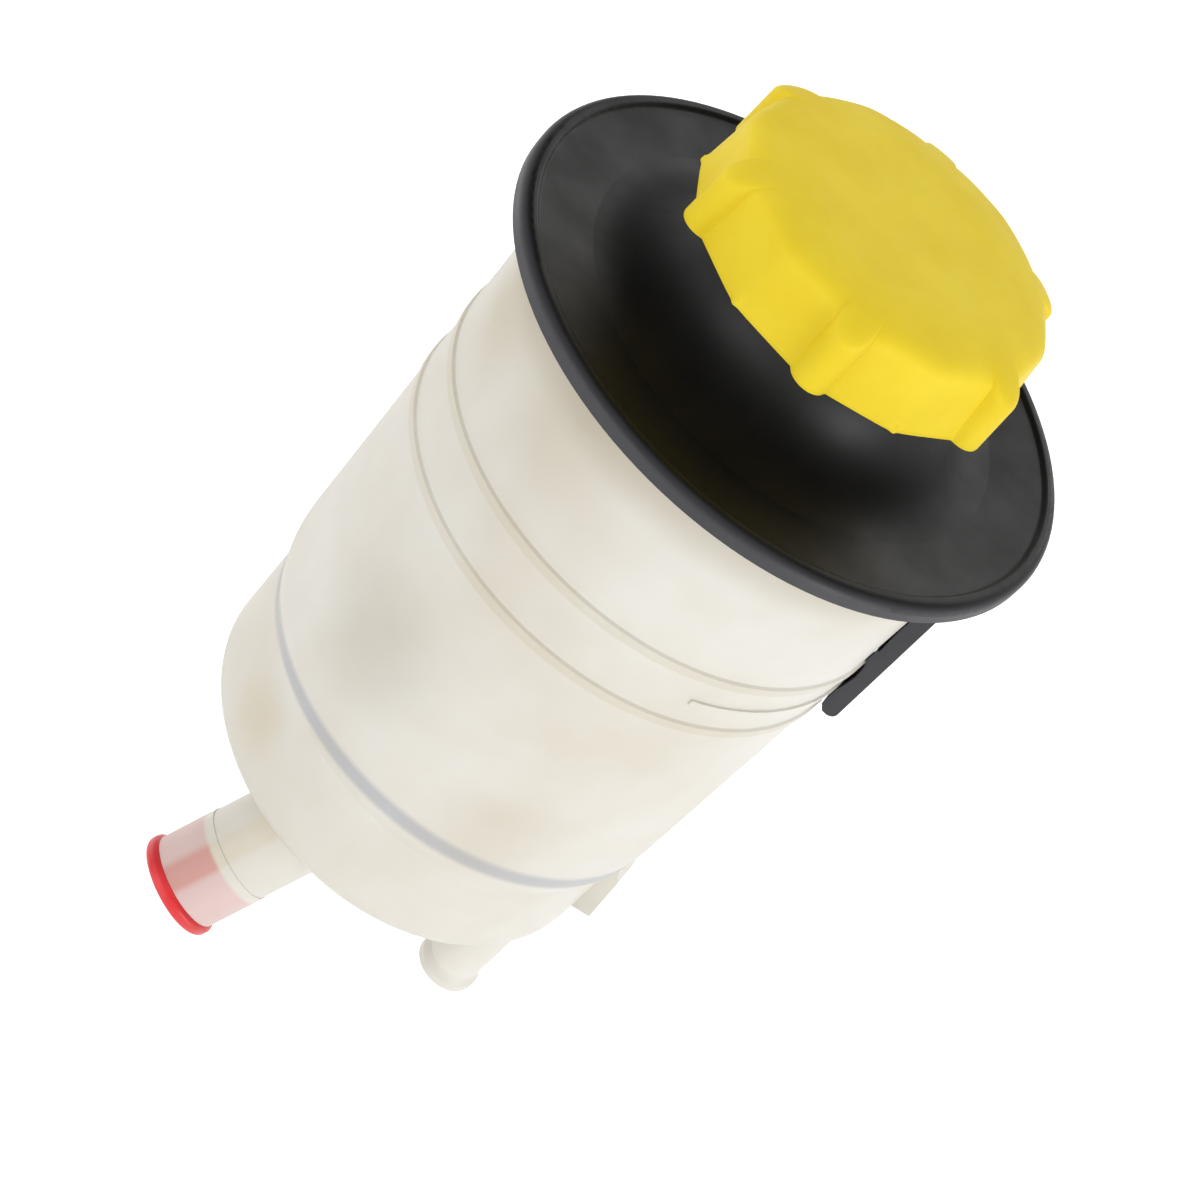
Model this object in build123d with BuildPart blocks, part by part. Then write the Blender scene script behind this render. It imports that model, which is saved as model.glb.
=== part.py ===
from build123d import *
import os
from math import asin, cos, degrees, pi, radians, sin, sqrt

os.makedirs("parts", exist_ok=True)

# Power steering reservoir. All sizes are in millimetres. The origin is on the tank's axis, in the middle of
# the strap seat, and +Z points up to the cap. Heights are counted from the highest side of the tank's foot.

strap_height = 93.0


def level(height):
    """Place along Z of a height above the highest side of the tank's foot."""
    return height - strap_height


# Tank: a tapered upper part, a slanted rounded shoulder and a narrower filter chamber with a sloping foot
tank_height = 137.4
rim_radius = 51.6
waist_radius = 49.7
waist_height = 39.5
chamber_radius = 47.4
foot_radius = 47.2
foot_round = 4.0
foot_fall = 4.2
wall = 2.3
floor_thickness = 2.4
shoulder_round = 25.0
shoulder_high = 31.5
shoulder_low = 14.5

# Low ribs that keep the strap in its seat, and a short one between them beside the finger
rib_rise = 0.5
rib_width = 2.8
seat_width = 11.6
keeper_rib_width = 1.4
keeper_rib_arc = 62.0
keeper_rib_start = -52.0

# Rim lip that the cover's hooks grip
lip_rise = 1.1
lip_height = 2.6
lip_edge = 0.8
lip_drop = 0.2

# Suction port, oblique, and return port, straight down
suction_radius = 10.25
suction_wall = 2.1
suction_lean = 32.75
suction_heading = -125.0
suction_root = (-4.0, -30.7)
suction_reach = 33.9
collar_length = 13.0
collar_rise = 0.2
return_spot = (37.0, -14.8)
return_radius = 6.0
return_bore = 3.5
return_reach = 24.4
bead_radius = 7.0
bead_width = 2.4
bead_fall = 1.8

# Guide fin under the shoulder, on the finger's side
fin_radius = 51.3
fin_width = 9.0
fin_low = 4.9
fin_high = 17.0
fin_taper = 1.0
fin_end = 4.0

# Filter chamber inside the tank
ledge_height = 23.3
ledge_width = 1.0
snap_rise = 0.45
snap_height = 1.0
fit_gap = 0.2

# Cover
cover_reach = 8.9
skirt_height = 3.8
skirt_wall = 2.3
cover_thickness = 2.4
rim_round = 2.0
rim_land = 0.6
dish_depth = 0.7
valley_inset = 6.6
valley_drop = 0.9
neck_radius = 29.2
neck_wall = 2.4
neck_straight = 10.1
spigot_wall = 2.0
spigot_depth = 10.0
groove_depth = 1.5
groove_width = 3.0
groove_drop = 4.2
gasket_gap = 0.1
hook_count = 6
hook_arc = 14.0
hook_wall = 1.6
hook_barb = 1.0
hook_barb_height = 1.4

# Strap finger that hangs from the cover
finger_reach = 3.5
finger_lean = 0.6
finger_width = 8.0
finger_drop = 7.1
finger_round = 1.9
finger_channel_width = 4.6
finger_skin = 1.6
finger_gap = 0.15

# Cap
cap_overlap = 8.5
cap_radius = 35.4
cap_draft = 7.1
cap_wall = 4.5
cap_top_wall = 2.5
crown_flat = 20.0
crown_arc = 44.0
crown_round = 3.0
lobe_count = 6
lobe_turn = 39.7
lobe_radius = 38.1
lobe_draft = 3.0
lobe_round = 3.7
lobe_blend = 1.8
nub_radius = 0.8
nub_height = 1.6
nub_drop = 0.4
thread_pitch = 5.0
bead_inset = 1.6

# Parts under the cap
gasket_thickness = 1.8
gasket_bore = 26.4
plate_thickness = 1.7
face_gap = 0.1
vent_hole_radius = 1.0
vent_hole_circle = 4.2
vent_hole_count = 6
umbrella_radius = 6.4
umbrella_thickness = 1.1
umbrella_stem = 1.5
pad_radius = 15.0
pad_bore = 7.4
pad_thickness = 1.9
pad_room = 2.4

# Neck strainer
strainer_flange = 1.2
strainer_depth = 38.0
strainer_wall = 1.4
strainer_bars = 8
strainer_bar_width = 2.4
strainer_ring = 2.6
mesh_thickness = 0.3
mesh_gap = 0.05

# Filter plate, its seal and its mesh
plate_rim = 3.6
plate_height = 5.0
seal_height = 3.2
seal_thickness = 2.35
flange_height = 1.5
spoke_count = 6
spoke_width = 2.4
hub_radius = 8.0
hub_bore = 5.2

# Return pipe
pipe_radius = 3.6
pipe_bore = 2.7
pipe_bend = 7.0
pipe_run_height = 16.0
pipe_top = 50.0
socket_wall = 1.2
socket_bore = 4.2
socket_ledge = 4.2
socket_height = 9.5
o_ring_section = 0.5
diffuser_radius = 12.0
diffuser_gap = 4.0
diffuser_disc = 1.6
diffuser_collar = 5.5
diffuser_posts = 4

# Bypass valve in the filter plate
bypass_spot = (-22.0, 14.0)
bypass_radius = 9.0
bypass_wall = 2.0
bypass_web = 1.6
bypass_port = 4.5
poppet_radius = 6.4
poppet_thickness = 1.6
poppet_stem = 1.2
poppet_travel = 3.0
housing_drop = 4.4
cage_height = 8.0
cage_floor = 1.5
cage_slots = 4
spring_radius = 4.2
spring_wire = 0.45
spring_turns = 4.0

# Transport plug in the suction port
plug_radius = 11.3
plug_flange = 3.2
plug_depth = 11.0
plug_wall = 1.3
plug_clearance = 0.06

# Places that follow from the sizes above
suction_bore = suction_radius - suction_wall
lower_rib = strap_height - (seat_width + rib_width) / 2
upper_rib = strap_height + (seat_width + rib_width) / 2
lip_foot = tank_height - lip_drop - lip_height
chamber_bore = chamber_radius - wall
sump_bore = chamber_bore - ledge_width
cover_under = tank_height + fit_gap
cover_top = cover_under + cover_thickness
skirt_radius = rim_radius + cover_reach
skirt_foot = cover_top + dish_depth - skirt_height
neck_bore = neck_radius - neck_wall
valley_radius = rim_radius - valley_inset
flare_round = valley_radius - neck_radius
valley_height = cover_top - valley_drop
neck_height = valley_height + flare_round + neck_straight
finger_radius = rim_radius + finger_reach
finger_tip = strap_height - finger_drop
cap_foot = neck_height - cap_overlap
cap_height = cap_overlap + gasket_thickness + plate_thickness + pad_room + cap_top_wall
cap_top = cap_foot + cap_height
ceiling = cap_top - cap_top_wall
cap_bore = cap_radius - cap_wall
gasket_foot = neck_height
plate_foot = gasket_foot + gasket_thickness
plate_top = plate_foot + plate_thickness
frame_foot = ledge_height + fit_gap / 2
frame_top = frame_foot + plate_height
mesh_level = frame_foot + 1.6

suction_down = Vector(
    sin(radians(suction_lean)) * cos(radians(suction_heading)),
    sin(radians(suction_lean)) * sin(radians(suction_heading)),
    -cos(radians(suction_lean)),
)
suction_end = Vector(suction_root[0], suction_root[1], level(0)) + suction_down * suction_reach
suction_plane = Plane(origin=suction_end, z_dir=suction_down)


def tank_radius(height):
    """Outer radius of the tank's tapered upper part at a height above its foot."""
    taper = (rim_radius - waist_radius) / (tank_height - waist_height)
    return waist_radius + taper * (height - waist_height)


def spot(place, height):
    """Horizontal plane at a height, centred on a place beside the tank's axis."""
    return Plane(origin=(place[0], place[1], level(height)))


# The shoulder is an arc of shoulder_round that starts on the tapered wall and stops at the chamber's wall.
# The plane that it would reach if it went on lies lower by shoulder_sink.
shoulder_step = waist_radius - chamber_radius
shoulder_sink = shoulder_round - sqrt(shoulder_round**2 - (shoulder_round - shoulder_step) ** 2)
shoulder_slope = (shoulder_high - shoulder_low) / (2 * waist_radius)
shoulder_middle = (shoulder_high + shoulder_low) / 2 - shoulder_sink
shoulder_plane = Plane(origin=(0, 0, level(shoulder_middle)), z_dir=(shoulder_slope, 0, 1))
shoulder_inside = shoulder_high + sqrt(shoulder_round**2 - (shoulder_round - shoulder_step) ** 2) + 2.0

# The foot falls by foot_fall from the tank's -X side to its +X side, and the floor keeps its thickness
foot_plane = Plane(origin=(0, 0, level(-foot_fall / 2)), z_dir=(foot_fall / (2 * foot_radius), 0, 1))

# Filter chamber, closed by the sloping foot
with BuildPart() as chamber:
    with BuildSketch(Plane.XZ):
        with BuildLine():
            Polyline(
                (0, level(-2 * foot_fall)),
                (foot_radius, level(-2 * foot_fall)),
                (chamber_radius, level(shoulder_high)),
                (chamber_radius, level(shoulder_inside)),
                (0, level(shoulder_inside)),
                close=True,
            )
        make_face()
    revolve(axis=Axis.Z)
    split(bisect_by=foot_plane, keep=Keep.TOP)
    fillet(chamber.faces().sort_by(Axis.Z)[0].edges(), radius=foot_round)

# Hollow of the tank, with the ledge that the filter seal rests on
with BuildPart() as hollow:
    with BuildSketch(Plane.XZ):
        with BuildLine():
            Polyline(
                (0, level(-2 * foot_fall)),
                (sump_bore, level(-2 * foot_fall)),
                (sump_bore, level(ledge_height)),
                (chamber_bore, level(ledge_height)),
                (chamber_bore, level(shoulder_high + 2.5)),
                (tank_radius(shoulder_inside) - wall, level(shoulder_inside)),
                (rim_radius - wall, level(tank_height)),
                (0, level(tank_height)),
                close=True,
            )
        make_face()
    revolve(axis=Axis.Z)
    split(bisect_by=foot_plane.offset(floor_thickness), keep=Keep.TOP)
    fillet(hollow.faces().sort_by(Axis.Z)[0].edges(), radius=foot_round - floor_thickness + 0.4)

# Tank, one moulding with its ports
with BuildPart() as reservoir_body:
    with BuildSketch(Plane.XZ):
        with BuildLine():
            Polyline(
                (0, level(0)),
                (tank_radius(0), level(0)),
                (rim_radius, level(tank_height)),
                (0, level(tank_height)),
                close=True,
            )
        make_face()
    revolve(axis=Axis.Z)
    split(bisect_by=shoulder_plane, keep=Keep.TOP)
    fillet(reservoir_body.faces().sort_by(Axis.Z)[0].edges(), radius=shoulder_round)

    add(chamber.part)

    # Strap ribs and rim lip
    for height in (lower_rib, upper_rib):
        with BuildSketch(Plane.XZ):
            with BuildLine():
                Polyline(
                    (tank_radius(height) - wall / 2, level(height - rib_width / 2)),
                    (tank_radius(height), level(height - rib_width / 2)),
                    (tank_radius(height) + rib_rise, level(height - rib_width / 2 + rib_rise)),
                    (tank_radius(height) + rib_rise, level(height + rib_width / 2 - rib_rise)),
                    (tank_radius(height), level(height + rib_width / 2)),
                    (tank_radius(height) - wall / 2, level(height + rib_width / 2)),
                    close=True,
                )
            make_face()
        revolve(axis=Axis.Z)
    with BuildSketch(Plane.XZ.rotated((0, 0, keeper_rib_start))):
        with Locations((tank_radius(strap_height) - wall / 2 + rib_rise, 0)):
            Rectangle(wall, keeper_rib_width)
    revolve(axis=Axis.Z, revolution_arc=keeper_rib_arc)
    with BuildSketch(Plane.XZ):
        with BuildLine():
            Polyline(
                (rim_radius - wall / 2, level(lip_foot)),
                (rim_radius + lip_rise, level(lip_foot)),
                (rim_radius + lip_rise, level(lip_foot + lip_edge)),
                (tank_radius(lip_foot + lip_height), level(lip_foot + lip_height)),
                (rim_radius - wall / 2, level(lip_foot + lip_height)),
                close=True,
            )
        make_face()
    revolve(axis=Axis.Z)

    # Guide fin
    with BuildSketch(Plane.XZ):
        with BuildLine():
            Polyline(
                (sump_bore + 0.5, level(fin_low - fin_end / 2)),
                (fin_radius, level(fin_low)),
                (fin_radius - fin_taper, level(fin_high)),
                (chamber_radius + 0.8, level(fin_high + fin_end)),
                (sump_bore + 0.5, level(fin_high + fin_end)),
                close=True,
            )
        make_face()
    extrude(amount=fin_width / 2, both=True)

    # Ports
    with BuildSketch(suction_plane):
        Circle(suction_radius)
    extrude(amount=-(suction_reach + suction_radius))
    with BuildSketch(suction_plane):
        Circle(suction_radius + collar_rise)
    extrude(amount=-collar_length)
    with BuildSketch(Plane(origin=(return_spot[0], return_spot[1], 0), x_dir=(1, 0, 0), z_dir=(0, -1, 0))):
        with BuildLine():
            Polyline(
                (0, level(-return_reach)),
                (bead_radius - 0.5, level(-return_reach)),
                (bead_radius, level(-return_reach + 0.5)),
                (bead_radius, level(-return_reach + bead_width)),
                (return_radius, level(-return_reach + bead_width + bead_fall)),
                (return_radius, level(floor_thickness)),
                (0, level(floor_thickness)),
                close=True,
            )
        make_face()
    revolve(axis=Axis((return_spot[0], return_spot[1], 0), (0, 0, 1)))

    add(hollow.part, mode=Mode.SUBTRACT)

    # Snap bead that holds the filter plate down
    with BuildSketch(Plane.XZ):
        with BuildLine():
            Polyline(
                (chamber_bore + 0.2, level(frame_top + fit_gap)),
                (chamber_bore, level(frame_top + fit_gap)),
                (chamber_bore - snap_rise, level(frame_top + fit_gap + snap_height / 2)),
                (chamber_bore, level(frame_top + fit_gap + snap_height)),
                (chamber_bore + 0.2, level(frame_top + fit_gap + snap_height)),
                close=True,
            )
        make_face()
    revolve(axis=Axis.Z)

    # Socket for the return pipe
    with BuildSketch(spot(return_spot, -foot_fall)):
        Circle(socket_bore + socket_wall)
    extrude(amount=socket_height + foot_fall)
    with BuildSketch(spot(return_spot, socket_ledge)):
        Circle(socket_bore)
    extrude(amount=socket_height - socket_ledge, mode=Mode.SUBTRACT)

    # Bores of the ports
    with BuildSketch(spot(return_spot, -return_reach)):
        Circle(return_bore)
    extrude(amount=return_reach + socket_ledge, mode=Mode.SUBTRACT)
    with BuildSketch(suction_plane):
        Circle(suction_bore)
    extrude(amount=-(suction_reach + suction_radius), mode=Mode.SUBTRACT)
reservoir_body.part.label = "reservoir_body"
export_step(reservoir_body.part, "parts/reservoir_body.step")

# Cover: rounded rim, shallow dish, flare up to the filler neck, spigot with a groove, hooks and strap finger
spigot_radius = tank_radius(tank_height - groove_drop) - wall - fit_gap
flare_centre = (valley_radius, level(valley_height + flare_round))
with BuildPart() as top_cover:
    with BuildSketch(Plane.XZ):
        with BuildLine():
            skirt = Line((skirt_radius, level(skirt_foot)), (skirt_radius, level(cover_top + dish_depth - rim_round)))
            crown = RadiusArc(
                skirt @ 1, (skirt_radius - rim_round, level(cover_top + dish_depth)), -rim_round
            )
            land = Line(crown @ 1, (skirt_radius - rim_round - rim_land, level(cover_top + dish_depth)))
            dip = Spline(
                land @ 1,
                (skirt_radius - rim_round - 3 * rim_land, level(cover_top)),
                tangents=[(-1, 0), (-1, -0.08)],
            )
            dish = Line(dip @ 1, (valley_radius, level(valley_height)))
            flare = ThreePointArc(
                dish @ 1,
                (flare_centre[0] - flare_round * cos(pi / 4), flare_centre[1] - flare_round * sin(pi / 4)),
                (neck_radius, flare_centre[1]),
            )
            Polyline(
                flare @ 1,
                (neck_radius, level(neck_height)),
                (neck_bore, level(neck_height)),
                (neck_bore, flare_centre[1]),
            )
            inner_round = valley_radius - neck_bore
            flare_inside = ThreePointArc(
                (neck_bore, flare_centre[1]),
                (flare_centre[0] - inner_round * cos(pi / 4), flare_centre[1] - inner_round * sin(pi / 4)),
                (valley_radius, flare_centre[1] - inner_round),
            )
            Polyline(
                flare_inside @ 1,
                (spigot_radius - spigot_wall - 1.0, level(cover_under)),
                (skirt_radius - skirt_wall, level(cover_under)),
                (skirt_radius - skirt_wall, level(skirt_foot)),
                skirt @ 0,
            )
        make_face()
    revolve(axis=Axis.Z)

    # Spigot with the gasket's groove
    spigot_foot = cover_under - spigot_depth
    groove_top = tank_height - groove_drop + groove_width / 2
    with BuildSketch(Plane.XZ):
        with BuildLine():
            Polyline(
                (spigot_radius - spigot_wall - groove_depth, level(cover_under + 0.5)),
                (spigot_radius, level(cover_under + 0.5)),
                (spigot_radius, level(groove_top)),
                (spigot_radius - groove_depth, level(groove_top)),
                (spigot_radius - groove_depth, level(groove_top - groove_width)),
                (spigot_radius, level(groove_top - groove_width)),
                (spigot_radius - 0.6, level(spigot_foot)),
                (spigot_radius - spigot_wall - groove_depth, level(spigot_foot)),
                close=True,
            )
        make_face()
    revolve(axis=Axis.Z)

    # Seat in the neck for the strainer's flange
    with BuildSketch(Plane.XY.offset(level(neck_height))):
        Circle(neck_bore + neck_wall / 2)
    extrude(amount=-strainer_flange, mode=Mode.SUBTRACT)

    # Hooks that grip the tank's lip
    hook_inside = rim_radius + lip_rise + fit_gap
    for turn in range(hook_count):
        start = 360 / hook_count * (turn + 0.5) - hook_arc / 2
        with BuildSketch(Plane.XZ.rotated((0, 0, start))):
            with BuildLine():
                Polyline(
                    (hook_inside, level(cover_under + 0.5)),
                    (hook_inside, level(lip_foot - fit_gap)),
                    (hook_inside - hook_barb, level(lip_foot - fit_gap)),
                    (hook_inside, level(lip_foot - fit_gap - hook_barb_height)),
                    (hook_inside + hook_wall, level(lip_foot - fit_gap - hook_barb_height)),
                    (hook_inside + hook_wall, level(cover_under + 0.5)),
                    close=True,
                )
            make_face()
        revolve(axis=Axis.Z, revolution_arc=hook_arc)

    # Strap finger: straight outside, notched inside where the strap passes, hollow behind
    # Each pair is a height above the middle of the seat and the inside's distance from the tank's wall there
    finger_contour = [
        (1.3 - finger_drop, 0.7),
        (-1.6, 0.6),
        (2.4, 1.1),
        (3.8, 1.25),
        (6.3, 1.05),
        (8.4, 0.55),
        (8.8, finger_gap),
        (12.2, finger_gap),
        (12.4, 0.55),
        (15.9, 0.3),
        (19.3, finger_gap),
        (25.0, finger_gap),
    ]
    with BuildSketch(Plane.XZ) as finger_profile:
        with BuildLine():
            Polyline(
                (finger_radius - finger_lean, level(cover_under + 0.5)),
                (finger_radius, level(finger_tip)),
                (finger_radius - finger_reach + 0.8, level(finger_tip)),
                *[
                    (tank_radius(strap_height + rise) + gap, level(strap_height + rise))
                    for rise, gap in finger_contour
                ],
                (hook_inside + 0.4, level(strap_height + 31.0)),
                (hook_inside + 0.4, level(cover_under + 0.5)),
                close=True,
            )
        make_face()
        fillet(finger_profile.vertices().group_by(Axis.Y)[0].sort_by(Axis.X)[-1], radius=finger_round)
    extrude(amount=finger_width / 2, both=True)
    with BuildSketch(Plane.XZ):
        with Locations((finger_radius - finger_skin, level(cover_under))):
            Rectangle(
                finger_reach,
                cover_under - finger_tip - finger_skin,
                align=(Align.MAX, Align.MAX),
            )
    extrude(amount=finger_channel_width / 2, both=True, mode=Mode.SUBTRACT)
top_cover.part.label = "top_cover"
export_step(top_cover.part, "parts/top_cover.step")

# O-ring in the spigot's groove
gasket_section = (groove_depth + fit_gap - gasket_gap) / 2
with BuildPart() as cover_gasket:
    with BuildSketch(Plane.XZ):
        with Locations((spigot_radius - groove_depth + gasket_section, level(tank_height - groove_drop))):
            Circle(gasket_section - gasket_gap / 2)
    revolve(axis=Axis.Z)
cover_gasket.part.label = "cover_gasket"
export_step(cover_gasket.part, "parts/cover_gasket.step")

# Screw cap: drafted wall with lobes under a low dome, rounded over all along its edge
crown_edge = lobe_radius + 1.0
crown_fall = crown_arc - sqrt(crown_arc**2 - (crown_edge - crown_flat) ** 2)
with BuildPart() as filler_cap:
    with BuildSketch(Plane.XY.offset(level(cap_foot))):
        Circle(cap_radius)
    extrude(amount=cap_height, taper=cap_draft)
    with BuildSketch(Plane.XY.offset(level(cap_foot))):
        with PolarLocations(lobe_radius - lobe_round, lobe_count, start_angle=lobe_turn):
            Circle(lobe_round)
    extrude(amount=cap_height, taper=lobe_draft)
    creases = filler_cap.edges().filter_by(lambda edge: edge.bounding_box().size.Z > cap_height / 2)
    fillet(creases, radius=lobe_blend)
    with BuildSketch(Plane.XZ):
        with BuildLine():
            flat = Line((0, level(cap_top)), (crown_flat, level(cap_top)))
            dome = RadiusArc(flat @ 1, (crown_edge, level(cap_top - crown_fall)), crown_arc)
            Polyline(dome @ 1, (crown_edge, level(cap_foot)), (0, level(cap_foot)), flat @ 0)
        make_face()
    revolve(axis=Axis.Z, mode=Mode.INTERSECT)
    rim = filler_cap.edges().filter_by(
        lambda edge: edge.bounding_box().size.Z < crown_round
        and edge.center().Z > level(cap_foot + cap_height / 2)
        and edge.center().X ** 2 + edge.center().Y ** 2 > (crown_flat + 4.0) ** 2
    )
    fillet(rim, radius=crown_round)
    with BuildSketch(Plane.XY.offset(level(cap_foot - nub_drop))):
        with PolarLocations(cap_radius - 0.1, lobe_count, start_angle=lobe_turn + 180 / lobe_count):
            Circle(nub_radius)
    extrude(amount=nub_height)

    # Inside: threaded bore, snap bead that carries the seal plate, and a rib that presses on the plate
    bead_level = plate_foot - face_gap
    with BuildSketch(Plane.XZ):
        with BuildLine():
            Polyline(
                (0, level(cap_foot)),
                (cap_bore, level(cap_foot)),
                (cap_bore, level(bead_level - bead_inset)),
                (cap_bore - bead_inset, level(bead_level - 0.6)),
                (cap_bore - bead_inset, level(bead_level)),
                (cap_bore - 0.9, level(bead_level)),
                (cap_bore - 0.9, level(plate_top + face_gap)),
                (cap_bore - 3.0, level(plate_top + face_gap)),
                (cap_bore - 3.0, level(ceiling)),
                (0, level(ceiling)),
                close=True,
            )
        make_face()
    revolve(axis=Axis.Z, mode=Mode.SUBTRACT)
filler_cap.part.label = "filler_cap"
export_step(filler_cap.part, "parts/filler_cap.step")

# Swivel plate that presses the gasket without turning
with BuildPart() as cap_seal_plate:
    with BuildSketch(Plane.XY.offset(level(plate_foot))):
        Circle(cap_bore - 0.9 - fit_gap)
        Circle(umbrella_stem + 0.05, mode=Mode.SUBTRACT)
        with PolarLocations(vent_hole_circle, vent_hole_count):
            Circle(vent_hole_radius, mode=Mode.SUBTRACT)
    extrude(amount=plate_thickness)
    with BuildSketch(Plane.XY.offset(level(plate_foot))):
        Circle(gasket_bore - face_gap)
        Circle(gasket_bore - face_gap - 1.5, mode=Mode.SUBTRACT)
    extrude(amount=-(gasket_thickness - face_gap))
cap_seal_plate.part.label = "cap_seal_plate"
export_step(cap_seal_plate.part, "parts/cap_seal_plate.step")

# Flat rubber ring on top of the neck
with BuildPart() as cap_gasket:
    with BuildSketch(Plane.XY.offset(level(gasket_foot))):
        Circle(cap_bore - bead_inset - fit_gap)
        Circle(gasket_bore, mode=Mode.SUBTRACT)
    extrude(amount=gasket_thickness)
cap_gasket.part.label = "cap_gasket"
export_step(cap_gasket.part, "parts/cap_gasket.step")

# Umbrella valve: domed head over the vent holes, stem and retaining bulb
dome_rise = 0.7
dome_radius = (umbrella_radius**2 + dome_rise**2) / (2 * dome_rise)
with BuildPart() as vent_valve:
    with BuildSketch(Plane.XZ):
        with BuildLine():
            head = Line(
                (umbrella_radius, level(plate_top)),
                (umbrella_radius, level(plate_top + umbrella_thickness - dome_rise)),
            )
            dome = CenterArc(
                (0, level(plate_top + umbrella_thickness) - dome_radius),
                dome_radius,
                90,
                -degrees(asin(umbrella_radius / dome_radius)),
            )
            Polyline(
                dome @ 0,
                (0, level(plate_foot - 2.4)),
                (umbrella_stem - 0.6, level(plate_foot - 2.4)),
                (umbrella_stem + 0.7, level(plate_foot - 0.9)),
                (umbrella_stem + 0.7, level(plate_foot)),
                (umbrella_stem, level(plate_foot)),
                (umbrella_stem, level(plate_top)),
                head @ 0,
            )
        make_face()
    revolve(axis=Axis.Z)
vent_valve.part.label = "vent_valve"
export_step(vent_valve.part, "parts/vent_valve.step")

# Foam ring that keeps dust out of the vent
with BuildPart() as breather_pad:
    with BuildSketch(Plane.XY.offset(level(plate_top))):
        Circle(pad_radius)
        Circle(pad_bore, mode=Mode.SUBTRACT)
    extrude(amount=pad_thickness)
breather_pad.part.label = "breather_pad"
export_step(breather_pad.part, "parts/breather_pad.step")

# Strainer basket in the neck
basket_radius = neck_bore - 0.6
basket_foot = neck_height - strainer_depth
with BuildPart() as strainer_frame:
    with BuildSketch(Plane.XY.offset(level(neck_height))):
        Circle(neck_bore + neck_wall / 2 - fit_gap / 2)
        Circle(basket_radius - strainer_wall, mode=Mode.SUBTRACT)
    extrude(amount=-strainer_flange)
    with BuildSketch(Plane.XY.offset(level(neck_height))):
        Circle(basket_radius)
        Circle(basket_radius - strainer_wall, mode=Mode.SUBTRACT)
    extrude(amount=-(strainer_flange + strainer_ring))
    with BuildSketch(Plane.XY.offset(level(basket_foot))):
        Circle(basket_radius)
        Circle(basket_radius - strainer_ring, mode=Mode.SUBTRACT)
    extrude(amount=strainer_ring)
    with BuildSketch(Plane.XY.offset(level(basket_foot))):
        with PolarLocations(basket_radius - strainer_wall / 2, strainer_bars):
            Rectangle(strainer_wall * 0.9, strainer_bar_width)
    extrude(amount=strainer_depth - strainer_flange)
    with BuildSketch(Plane.XY.offset(level(basket_foot))):
        for turn in range(2):
            Rectangle(2 * basket_radius - 2, strainer_bar_width, rotation=90 * turn)
    extrude(amount=strainer_wall)
strainer_frame.part.label = "strainer_frame"
export_step(strainer_frame.part, "parts/strainer_frame.step")

# Mesh cup inside the basket
mesh_cup_radius = basket_radius - strainer_ring - mesh_gap
mesh_cup_foot = basket_foot + strainer_wall + mesh_gap
with BuildPart() as strainer_mesh:
    with BuildSketch(Plane.XY.offset(level(mesh_cup_foot))):
        Circle(mesh_cup_radius)
    extrude(amount=neck_height - strainer_flange - 1.0 - mesh_cup_foot)
    with BuildSketch(Plane.XY.offset(level(mesh_cup_foot + mesh_thickness))):
        Circle(mesh_cup_radius - mesh_thickness)
    extrude(amount=strainer_depth, mode=Mode.SUBTRACT)
strainer_mesh.part.label = "strainer_mesh"
export_step(strainer_mesh.part, "parts/strainer_mesh.step")

# Filter plate: rim with a flange over the seal, hub for the pipe, spokes and the bypass housing
rim_outside = chamber_bore - seal_thickness - fit_gap / 4
rim_inside = rim_outside - plate_rim
with BuildPart() as filter_frame:
    with BuildSketch(Plane.XY.offset(level(frame_foot))):
        Circle(rim_outside)
        Circle(rim_inside, mode=Mode.SUBTRACT)
    extrude(amount=plate_height)
    with BuildSketch(Plane.XY.offset(level(frame_top))):
        Circle(chamber_bore - fit_gap)
        Circle(rim_inside - 1.5, mode=Mode.SUBTRACT)
    extrude(amount=-flange_height)
    with BuildSketch(Plane.XY.offset(level(frame_foot))):
        Circle(hub_radius)
    extrude(amount=plate_height)
    with BuildSketch(Plane.XY.offset(level(mesh_level))):
        with PolarLocations(rim_inside / 2, spoke_count, start_angle=30):
            Rectangle(rim_inside + 1.0, spoke_width)
    extrude(amount=frame_top - mesh_level)
    with BuildSketch(spot(bypass_spot, frame_foot - housing_drop)):
        Circle(bypass_radius)
    extrude(amount=plate_height + housing_drop)
    with BuildSketch(spot(bypass_spot, frame_foot - housing_drop)):
        Circle(bypass_radius - bypass_wall)
    extrude(amount=plate_height + housing_drop - bypass_web, mode=Mode.SUBTRACT)
    with BuildSketch(spot(bypass_spot, frame_top)):
        Circle(bypass_port)
    extrude(amount=-bypass_web, mode=Mode.SUBTRACT)
    with BuildSketch(spot(bypass_spot, frame_foot - housing_drop + 2.4)):
        for turn in range(2):
            Rectangle(2 * bypass_radius + 2, spoke_width * 1.6, rotation=90 * turn)
    extrude(amount=housing_drop - 2.6, mode=Mode.SUBTRACT)
    with BuildSketch(Plane.XY.offset(level(frame_foot))):
        Circle(hub_bore)
    extrude(amount=plate_height, mode=Mode.SUBTRACT)
filter_frame.part.label = "filter_frame"
export_step(filter_frame.part, "parts/filter_frame.step")

# Mesh disc under the spokes
with BuildPart() as filter_mesh:
    with BuildSketch(Plane.XY.offset(level(mesh_level))):
        Circle(rim_inside - mesh_gap)
        Circle(hub_radius + mesh_gap, mode=Mode.SUBTRACT)
        with Locations(bypass_spot):
            Circle(bypass_radius + mesh_gap, mode=Mode.SUBTRACT)
    extrude(amount=-mesh_thickness)
filter_mesh.part.label = "filter_mesh"
export_step(filter_mesh.part, "parts/filter_mesh.step")

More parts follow.
